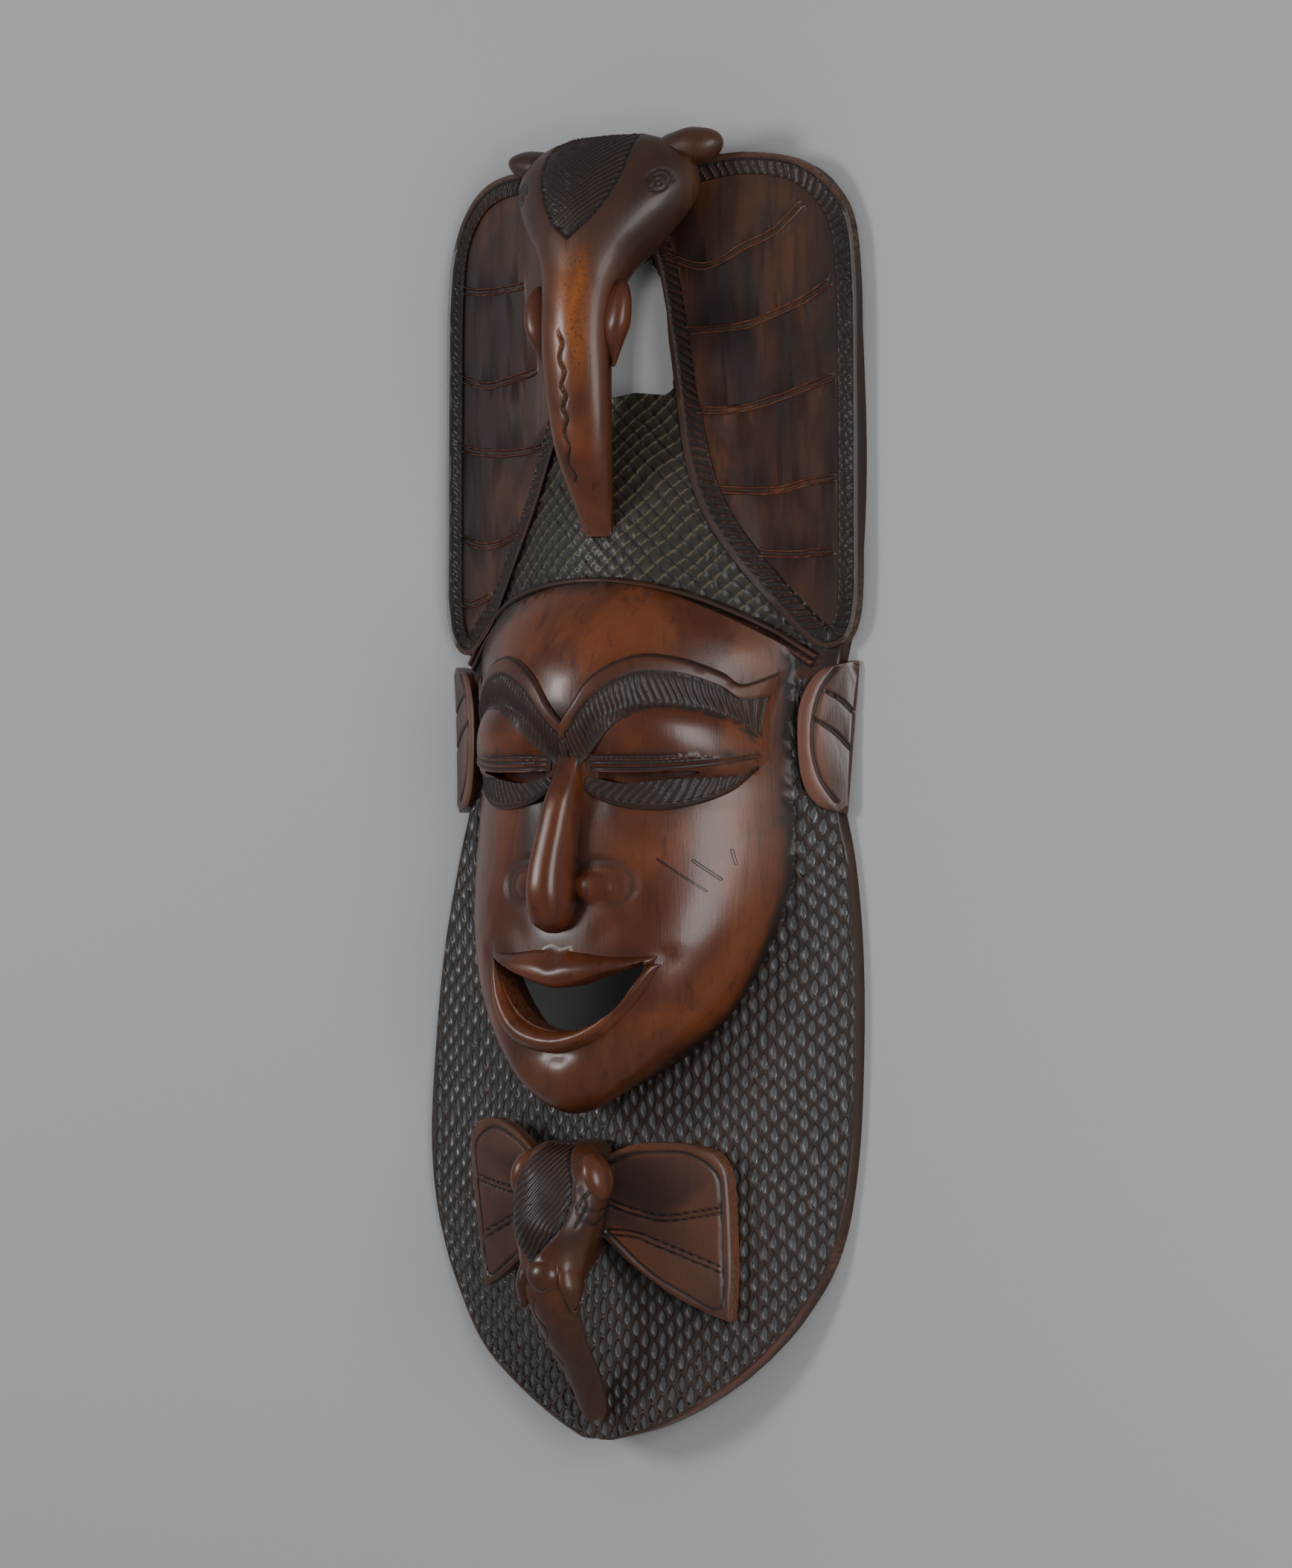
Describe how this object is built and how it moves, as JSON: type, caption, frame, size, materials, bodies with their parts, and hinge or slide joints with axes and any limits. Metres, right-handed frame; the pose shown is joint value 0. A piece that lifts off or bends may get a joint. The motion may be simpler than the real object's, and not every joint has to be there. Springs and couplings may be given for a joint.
{
  "type": "tribal mask",
  "caption": "Long carved wooden wall mask with a smiling closed-eyed face, an elephant head with large ears on the crown and a smaller elephant under the chin.",
  "frame": {"origin": "middle of the mask's length and width, on the surface it lies on", "axes": "+X across the face to the viewer's right, +Y from the beard's tip towards the crown, +Z out of the face, with the mask lying on its back"},
  "size_m": [0.3202, 0.786, 0.11],
  "materials": {
    "mask_wood": "stained and waxed hardwood, semi-gloss on the face, dull in the carved hair and beard"
  },
  "bodies": {
    "root": {"carved_mask": "mask_wood"}
  },
  "joints": []
}
